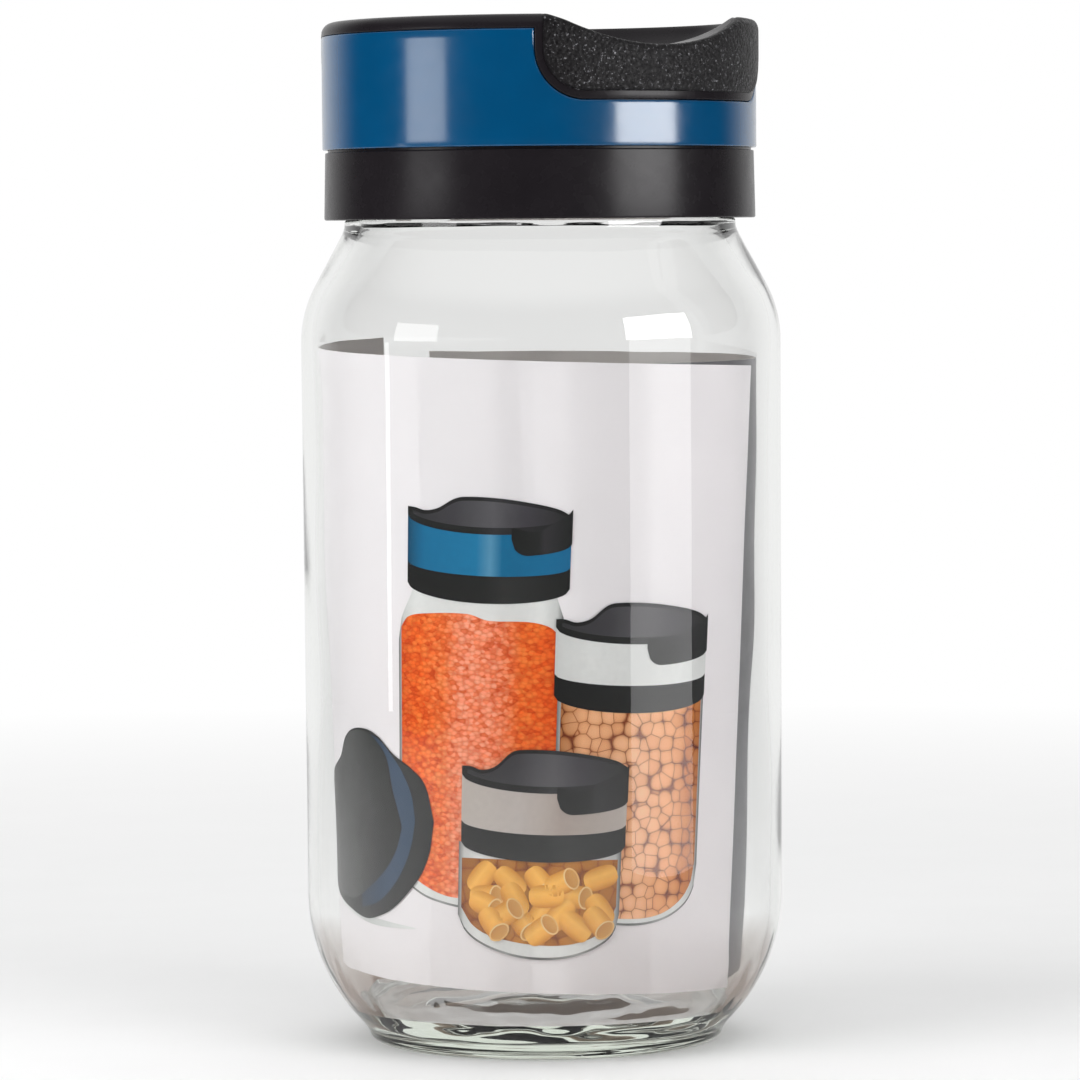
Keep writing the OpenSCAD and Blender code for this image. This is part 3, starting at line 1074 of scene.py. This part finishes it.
def heap_ink(name, scale, hues, gap, gap_place, shade, stretch=(1, 1, 1), randomness=0.6):
    """Printed heap of small round things of changing colour with dark gaps, shaded across the jar."""
    s = Shader(name, Specular_IOR_Level=INK_SPECULAR)
    place = s.add("ShaderNodeMapping", {"Vector": s.uv("flat"), "Scale": stretch}).outputs[0]
    warp = s.add("ShaderNodeTexNoise", {"Vector": place, "Scale": scale * 0.6}).outputs["Color"]
    place = s.vectors("ADD", place, s.vectors("MULTIPLY", warp, (0.3 / scale,) * 3))
    pick = s.part(s.cells(scale, output="Color", vector=place, randomness=randomness), "X")
    hue = s.ramp(pick, [(k / (len(hues) - 1), hue) for k, hue in enumerate(hues)])
    middle = s.cells(scale, vector=place, randomness=randomness)
    ball = s.ramp(middle, BALL_SHADE + [(0.74, gap)])
    edge = s.cells(scale, feature="DISTANCE_TO_EDGE", vector=place, randomness=randomness)
    rim = s.ramp(edge, [(0.0, tinted(gap, 1.4)), (gap_place, (1.0, 1.0, 1.0))])
    colour = s.vectors("MULTIPLY", hue, s.vectors("MULTIPLY", ball, rim))
    s.join(s.vectors("MULTIPLY", colour, s.ramp(s.part(s.uv("local"), "X"), shade)))
    s.rough(300, INK_ROUGH - 0.02, INK_ROUGH + 0.02)
    return s.mat


def grey(level, tint=0.0):
    """Neutral colour, a little violet with tint."""
    return (level * (1 + tint * 0.5), level, level * (1 + tint))


def greys(*stops):
    """Ramp stops of neutral colours, from (place, level) or (place, level, tint)."""
    return [(place, grey(level, *tint)) for place, level, *tint in stops]


INK_BLACK = ink("ink_black", greys((0.0, 0.010), (0.45, 0.016), (0.55, 0.03, 0.1), (1.0, 0.010)))
INK_RING = ink("ink_ring", greys((0.0, 0.008), (0.5, 0.018), (0.62, 0.03), (1.0, 0.012)))
INK_DISH = ink("ink_dish", greys((0.0, 0.03, 0.1), (0.3, 0.05, 0.15), (0.55, 0.10, 0.1), (0.75, 0.05, 0.2),
                                 (1.0, 0.02)))
INK_BLUE = ink("ink_blue", [
    (0.0, (0.004, 0.055, 0.12)), (0.12, (0.01, 0.16, 0.33)), (0.45, (0.015, 0.19, 0.38)),
    (0.53, (0.10, 0.30, 0.48)), (0.6, (0.008, 0.15, 0.31)), (1.0, (0.01, 0.14, 0.30)),
])
INK_WHITE = ink("ink_white_band", greys((0.0, 0.60), (0.2, 0.80), (0.8, 0.84), (1.0, 0.70)))
INK_SILVER = ink("ink_silver_band", [
    (0.0, (0.50, 0.45, 0.42)), (0.35, (0.56, 0.50, 0.48)), (0.6, (0.40, 0.33, 0.30)),
    (1.0, (0.52, 0.46, 0.43)),
])
INK_GLASS = ink("ink_glass", greys((0.0, 0.16), (0.035, 0.62), (0.12, 0.80), (0.88, 0.80), (0.965, 0.6),
                                   (1.0, 0.12)))
INK_LINE = ink("ink_glass_line", greys((0.0, 0.10), (0.3, 0.35), (0.5, 0.12), (0.75, 0.4), (1.0, 0.08)))
INK_SHADOW = ink("ink_shadow", greys((0.0, 0.80), (0.5, 0.62), (1.0, 0.80)))
INK_FACE = ink("ink_lid_face", greys((0.0, 0.02), (0.35, 0.045), (0.62, 0.075), (0.85, 0.03), (1.0, 0.008)))
INK_NAVY = ink("ink_navy", [(0.0, (0.02, 0.035, 0.06)), (0.6, (0.045, 0.075, 0.13)),
                            (1.0, (0.03, 0.06, 0.11))])
INK_LENTILS = heap_ink(
    "ink_lentils", 88, [(0.80, 0.11, 0.015), (1.0, 0.20, 0.035), (1.0, 0.28, 0.065), (1.0, 0.22, 0.045)],
    (0.78, 0.60, 0.52), 0.05,
    [(0.0, (0.80, 0.55, 0.4)), (0.14, (1.0, 0.85, 0.7)), (0.30, (1.02, 1.1, 1.6)),
     (0.42, (1.05, 1.55, 4.5)), (0.62, (1.05, 1.45, 4.0)), (0.78, (1.0, 0.9, 0.8)),
     (1.0, (0.80, 0.5, 0.3))],
    stretch=(1, 1.5, 1), randomness=0.95,
)
INK_CHICKPEAS = heap_ink(
    "ink_chickpeas", 38, [(0.90, 0.43, 0.21), (1.0, 0.54, 0.30), (0.95, 0.48, 0.25)],
    (0.34, 0.17, 0.10), 0.05,
    [(0.0, (0.5, 0.42, 0.3)), (0.15, (0.92, 0.9, 0.88)), (0.5, (1.05, 1.08, 1.1)),
     (0.78, (0.95, 0.85, 0.7)), (0.9, (0.72, 0.5, 0.25)), (1.0, (0.5, 0.32, 0.15))],
)
INK_PASTA_BACK = heap_ink(
    "ink_pasta_back", 30, [(0.45, 0.17, 0.02), (0.60, 0.25, 0.035), (0.52, 0.2, 0.03)],
    (0.55, 0.4, 0.3), 0.06,
    [(0.0, (0.7, 0.6, 0.5)), (0.3, (1.0, 1.0, 1.0)), (1.0, (0.85, 0.75, 0.6))],
)
INK_PASTA = ink("ink_pasta", [
    (0.0, (0.66, 0.24, 0.025)), (0.3, (0.94, 0.44, 0.075)), (0.6, (1.0, 0.53, 0.11)),
    (1.0, (0.70, 0.27, 0.025)),
], along="Y")
INK_PASTA_RIM = ink("ink_pasta_rim", [(0.0, (0.90, 0.62, 0.30)), (1.0, (0.86, 0.5, 0.18))])
INK_PASTA_HOLE = ink("ink_pasta_hole", [(0.0, (0.60, 0.26, 0.05)), (1.0, (0.72, 0.36, 0.10))])


def print_lid(picture, layer, mid, crest, rise, wing_start, band):
    """Pictured lid: dished top, colour band, dark ring and one wing on the right."""
    half = 16.3
    silhouette = curve(
        (mid - half, crest - rise + 0.6), (mid - 14.6, crest - rise * 0.85), (mid - 12.4, crest - rise),
        (mid - 9.6, crest - rise * 0.8), (mid - 6.6, crest - 0.6), (mid - 4.6, crest), (mid + 2, crest),
        (mid + 9, crest - 0.8), (mid + 14, crest - 1.9), (mid + half, crest - 3.2),
    )
    rim = sagging(mid, half, crest - rise, 3.2)
    band_top = sagging(mid, half, crest - rise - 1.0, 3.2)
    band_low = sagging(mid, half, crest - rise - 10.2, 2.2)
    ring_low = sagging(mid, half, crest - rise - 14.4, 3.4)
    left = mid - half
    right = mid + half
    picture.patch(INK_RING, layer, left, right, ring_low, band_low)
    picture.patch(band, layer + 1, left, right, band_low, band_top)
    picture.patch(INK_BLACK, layer + 2, left, right, band_top, silhouette)

    def dish_low(x):
        return min(rim(x) + 0.35, silhouette(x) - 0.5)

    def dish_high(x):
        return max(silhouette(x) - 0.75, dish_low(x))

    picture.patch(INK_DISH, layer + 3, mid - half * 0.93, mid + half * 0.93, dish_low, dish_high)
    start = mid + wing_start
    corner = 3.4

    def wing_low(x):
        low = sagging(mid, half, crest - rise - 5.6, 2.9)(x)
        into = min((x - start) / corner, 1)
        return low + corner * (1 - math.sqrt(1 - (1 - into) ** 2))

    def wing_high(x):
        notch = 1.6 * math.exp(-((x - start - 4.5) / 3.2) ** 2)
        return rim(x) + 0.5 - notch * 0.8 + max(0, x - start - 6) * 0.14

    picture.patch(INK_BLACK, layer + 4, start, right + 0.15, wing_low, wing_high)


def print_body(picture, layer, left, right, low, high, fill, fill_low, fill_high):
    """Pictured glass with its outline and what is in it."""
    picture.patch(INK_GLASS, layer, left, right, low, high)
    picture.patch(INK_LINE, layer + 1, left + 0.6, right - 0.6, low, lambda x: low(x) + 0.45)
    picture.patch(fill, layer + 2, left + 0.7, right - 0.7, fill_low, fill_high)


PASTA_IN_ROW = 5
PASTA_RIGHT = 40.5


def print_pasta(picture, layer):
    """Short tubes in the small jar, in seeded places."""
    draw = random.Random(11)
    for row in range(4):
        for place in range(PASTA_IN_ROW):
            x = 16 + 5.6 * place + draw.uniform(-1.2, 1.2) + (row % 2) * 1.8
            y = -39.2 - 2.75 * row + draw.uniform(-0.8, 0.8) - 1.6 * (1 - ((x - 28) / 16) ** 2)
            if x > PASTA_RIGHT:
                continue
            turn = draw.uniform(-1.1, 1.1)
            step = 3 * ((row * PASTA_IN_ROW + place) % 4)
            picture.blob(INK_PASTA, layer + step, (x, y), 3.5, 2.3, turn, power=2.8)
            if draw.random() < 0.45:
                end = (x + 2.0 * math.cos(turn), y + 2.0 * math.sin(turn))
                picture.blob(INK_PASTA_RIM, layer + step + 1, end, 1.45, 2.3, turn)
                picture.blob(INK_PASTA_HOLE, layer + step + 2, end, 1.15, 1.95, turn)


def print_tall_jar(picture):
    """Jar of small orange seeds with a blue band."""
    low = curve((-3.3, -37), (-2.2, -41), (2, -44.2), (8, -45.8), (14, -46.3), (30.5, -45))
    high = curve((-3.3, 6), (-2.7, 10), (-0.6, 14.6), (1, 18), (28, 18), (30.5, 12))
    fill_low = curve((-2.6, -36), (-0.8, -39.8), (4, -42.8), (10, -44.3), (29.6, -44))
    fill_high = curve(
        (-2.6, 8.6), (-1.2, 10.6), (3, 11.6), (12, 12), (16, 10.9), (24, 10.9), (28, 10), (29.8, 8.4),
    )
    print_body(picture, 0, -3.3, 30.5, low, high, INK_LENTILS, fill_low, fill_high)
    print_lid(picture, 3, 15.2, 35, 3.0, 5.0, INK_BLUE)


def print_leaning_lid(picture):
    """Lid that leans on the tall jar, seen from its top, with its shadow."""
    rim_high = curve(
        (-42, -33), (-33, -24.3), (-24, -19.5), (-21.5, -15.7), (-18, -13.4), (-13, -12.8), (-9, -14),
        (-5, -17), (0, -19.6), (3.5, -23), (5.3, -29.5),
    )
    rim_low = curve(
        (-42, -44), (-33, -47), (-27, -48.6), (-20, -50), (-14, -51), (-10, -50.3), (-5, -48),
        (0, -43.5), (3, -39.5), (4.8, -34.5), (5.3, -30),
    )
    band_high = curve((-15, -13.2), (-9, -14.4), (-5, -17.5), (-2, -21), (0.2, -25.5), (0.9, -29.5))
    band_low = curve((-15, -49), (-9, -47), (-4, -42.5), (-1, -37.5), (0.5, -33), (0.9, -30))
    face_high = curve(
        (-42, -34), (-33, -25), (-24, -20), (-21.3, -16), (-18, -13.8), (-13, -13.3), (-9, -15.2),
        (-6.3, -18.5), (-5, -24), (-3.7, -27.5), (-2.5, -31),
    )
    face_low = curve(
        (-42, -43), (-33, -46.3), (-27, -47.4), (-18, -47.5), (-12, -44.5), (-7, -40.5), (-3.8, -36),
        (-2.5, -31.8),
    )
    shadow_low = curve((-26, -49.6), (-12, -51.9), (1, -51.5))
    shadow_high = curve((-26, -49), (-12, -50.4), (1, -51.2))
    picture.patch(INK_SHADOW, 5, -26, 1, shadow_low, shadow_high)
    picture.patch(INK_RING, 9, -42, 5.3, rim_low, rim_high)
    picture.patch(INK_NAVY, 10, -15, 0.9, band_low, band_high)
    picture.patch(INK_FACE, 11, -42, -2.5, face_low, face_high)


def print_medium_jar(picture):
    """Jar of chickpeas with a white band."""
    low = curve(
        (29.8, -38), (31, -43), (36, -47), (44, -48.7), (52, -48.2), (58, -45.5), (61, -41.5), (61.6, -37),
    )
    fill_low = curve(
        (30.4, -37), (33, -43.6), (38, -46.2), (44, -47.4), (52, -46.9), (57.5, -44), (60.3, -40), (61, -36),
    )
    high = curve((29, -3), (62, -3))
    fill_high = curve((29, -4.4), (62, -4))
    print_body(picture, 6, 29.8, 61.6, low, high, INK_CHICKPEAS, fill_low, fill_high)
    print_lid(picture, 9, 45.4, 15, 3.9, 2.0, INK_WHITE)


def print_small_jar(picture):
    """Jar of tube pasta with a silver band."""
    low = curve(
        (11, -47.5), (12.5, -50.5), (16, -53), (22, -54.9), (28, -55.5), (34, -54.9), (39.5, -52.8),
        (42.7, -50), (43.6, -46.5),
    )
    fill_low = curve(
        (11.7, -46), (14, -49.3), (18, -51.3), (28, -52.7), (36, -51.9), (41, -49), (42.9, -45),
    )
    high = curve((10, -33), (44, -33))
    fill_high = curve((11, -36.2), (44, -35.6))
    print_body(picture, 12, 11, 43.6, low, high, INK_PASTA_BACK, fill_low, fill_high)
    print_pasta(picture, 15)
    print_lid(picture, 27, 27.9, -14.2, 4.3, 2.4, INK_SILVER)


def build_picture():
    """Three filled jars and a leaning lid, printed on the white leaflet. It carries no words."""
    picture = Picture(FRONT_SHEET)
    print_tall_jar(picture)
    print_leaning_lid(picture)
    print_medium_jar(picture)
    print_small_jar(picture)
    belongs(picture.build("leaflet_picture"), "jar", "paper")


# ---------------------------------------------------------------- stage, light and camera
# Directions are given by one coordinate of their unit vector. Brightness 1 is white in the picture.
# The stage's reaches are distances from the axis in metres.
REAR_LIGHT = (0.35, 0.85)
TOP_LIGHT = (0.45, 0.85)
FRONT_DARK = 0.02
FRONT_THROUGH = 0.12
REAR_BRIGHT = 0.88
WALLS_PASSED = 2.5
BOUNCE_WEIGHT = -10
STAGE_Z = -0.05
STAGE_R = 1400
# Dark warm colour painted on the floor near the jar and seen only through the glass: painted shade under the
# jar.
STAGE_PAINTED_SHADE = (0.30, 0.22, 0.18, 1)
STAGE_PAINTED_SHADE_REACH = (0.055, 0.17)
STAGE_FADE_REACH = (0.12, 0.75)


def studio_strength(tree, ahead):
    """Brightness of the studio towards a direction, from the direction's Y. The picture shows it white.

    Mirrored on the jar, the camera's side is dark. Seen right through the jar, it is nearly white."""
    spread = tree.span(ahead, *REAR_LIGHT, FRONT_DARK, REAR_BRIGHT, interpolation_type="SMOOTHSTEP")
    path = tree.add("ShaderNodeLightPath").outputs
    lens = tree.maths("MULTIPLY", path["Is Transmission Ray"], FRONT_THROUGH)
    bounced = tree.maths("MULTIPLY", path["Diffuse Depth"], BOUNCE_WEIGHT)
    passed = tree.maths("ADD", path["Transmission Depth"], bounced)
    across = tree.maths("MULTIPLY", tree.maths("GREATER_THAN", passed, WALLS_PASSED), REAR_BRIGHT)
    white = tree.maths("MAXIMUM", across, path["Is Camera Ray"])
    return tree.maths("MAXIMUM", spread, tree.maths("MAXIMUM", lens, white))


def stage_material():
    """Pale seamless paper. Away from the jar it takes on the studio's own light, so it has no horizon. Near
    the jar, where it is seen through the glass, it is painted a dark warm shade.
    """
    s = Shader("stage_paper", Specular_IOR_Level=0.2)
    s.join(s.wander(30, (0.94, 0.94, 0.94), (0.96, 0.96, 0.96)))
    s.rough(60, 0.7, 0.8)
    place = s.place((1, 1, 0))
    away = s.add("ShaderNodeVectorMath", {0: place}, operation="LENGTH").outputs["Value"]
    ahead = s.maths("DIVIDE", s.part(place, "Y"), away)
    path = s.add("ShaderNodeLightPath").outputs
    strength = s.maths("MAXIMUM", studio_strength(s, ahead), path["Diffuse Depth"])
    glow = s.add("ShaderNodeEmission", {"Strength": s.maths("MINIMUM", strength, 1.0)}).outputs[0]
    # Painted shade: near the jar, rays that came through the glass see the floor in a dark warm colour.
    painted_shade = s.add("ShaderNodeBsdfDiffuse", {"Color": STAGE_PAINTED_SHADE}).outputs[0]
    shade_share = s.maths("MULTIPLY", s.span(away, *STAGE_PAINTED_SHADE_REACH, 1.0, 0.0), path["Is Transmission Ray"])
    floor_with_shade = s.blend(shade_share, s.bsdf.outputs[0], painted_shade)
    s.links.new(s.blend(s.span(away, *STAGE_FADE_REACH, 0.0, 1.0), floor_with_shade, glow), s.surface)
    return s.mat


def build_stage():
    """Round floor just under the jar's foot."""
    count = 96
    points = [(0, 0, STAGE_Z)]
    for share in (0.12, 0.4, 1):
        points += [polar(STAGE_R * share, 360 * i / count, STAGE_Z) for i in range(count)]
    faces = [(0, 1 + i, 1 + (i + 1) % count) for i in range(count)]
    faces += grid_faces(3, count, wrap=True, first=1)
    make_piece("stage_floor", points, faces, [stage_material()])


# Name, azimuth, distance, width, height, height of the middle, radiance
HIGHLIGHTS = (
    ("highlight_right", 55, 330, 200, 110, 215, 12),
    ("highlight_right_low", 55, 330, 185, 158, 80, 2.6),
    ("highlight_left", -58, 330, 130, 75, 196, 4.5),
    ("highlight_left_strip", -73, 330, 14, 110, 97, 4),
)
SOFT_LIGHTS = (
    ("soft_light_right", 45, 700, 500, 700, 300, 3.0),
    ("soft_light_left", -60, 700, 500, 700, 300, 4.3),
)


def softbox(name, azimuth, distance, width, height, mid_z, radiance, shines):
    """Upright area light that faces the axis. It gives highlights only, or soft light only."""
    data = bpy.data.lights.new(name, "AREA")
    data.shape = "RECTANGLE"
    data.size = width * MM
    data.size_y = height * MM
    data.energy = radiance * math.pi * width * height * MM * MM
    lamp = bpy.data.objects.new(name, data)
    bpy.context.scene.collection.objects.link(lamp)
    lamp.location = Vector(polar(distance, azimuth, mid_z)) * MM
    lamp.rotation_euler = Euler((math.radians(90), 0, math.radians(azimuth)), "XYZ")
    lamp.visible_camera = False
    lamp.visible_transmission = False
    lamp.visible_glossy = shines
    lamp.visible_diffuse = not shines


def build_world():
    """White studio: bright behind and above, dark on the camera's side, white in the picture."""
    world = bpy.data.worlds.new("studio")
    world.use_nodes = True
    bpy.context.scene.world = world
    tree = Tree(world.node_tree)
    direction = tree.add("ShaderNodeTexCoord").outputs["Generated"]
    parts = tree.add("ShaderNodeSeparateXYZ", {0: direction}).outputs
    above = tree.span(parts["Z"], *TOP_LIGHT, FRONT_DARK, 1.0, interpolation_type="SMOOTHSTEP")
    strength = tree.maths("MAXIMUM", studio_strength(tree, parts["Y"]), above)
    background = tree.nodes["Background"]
    background.inputs["Color"].default_value = (1, 1, 1, 1)
    tree.links.new(strength, background.inputs["Strength"])


CAMERA_PLACE = (0, -1.070, 0.1644)
CAMERA_LENS = 175.3
CAMERA_DIP = 3.37
CAMERA_ROLL = 0.45


def build_camera():
    """Camera at eye level with the shoulder, with the slight roll of the picture."""
    data = bpy.data.cameras.new("camera")
    data.lens = CAMERA_LENS
    data.sensor_width = 36
    data.clip_start = 0.05
    camera = bpy.data.objects.new("camera", data)
    bpy.context.scene.collection.objects.link(camera)
    camera.location = CAMERA_PLACE
    camera.rotation_mode = "XYZ"
    camera.rotation_euler = (math.radians(90 - CAMERA_DIP), math.radians(CAMERA_ROLL), 0)
    bpy.context.scene.camera = camera


def build_render_look():
    """Plain view transform and enough bounces for the glass."""
    scene = bpy.context.scene
    scene.view_settings.view_transform = "Standard"
    scene.cycles.use_denoising = True
    scene.cycles.max_bounces = 24
    scene.cycles.transmission_bounces = 20
    scene.cycles.transparent_max_bounces = 24
    scene.cycles.glossy_bounces = 8
    scene.cycles.diffuse_bounces = 6
    scene.cycles.caustics_refractive = True
    scene.cycles.blur_glossy = 0.5


build_jar()
build_lower_ring()
build_gasket()
build_screw_cap()
build_top_cap()
build_colour_band()
build_grip_pad("lid_grip_front", WING_MIDS[0], "grip_pad_front")
build_grip_pad("lid_grip_rear", WING_MIDS[1], "grip_pad_rear")
build_sheet("leaflet_front", FRONT_SHEET, PAPER, PAPER_INSIDE_SHADED, "front_leaflet", "paper")
build_sheet("leaflet_rear", REAR_SHEET, PAPER_GREY, PAPER_INSIDE_SHADED, "rear_leaflet", "grey_paper")
build_picture()
build_stage()
for light in HIGHLIGHTS:
    softbox(*light, shines=True)
for light in SOFT_LIGHTS:
    softbox(*light, shines=False)
build_world()
build_camera()
build_render_look()
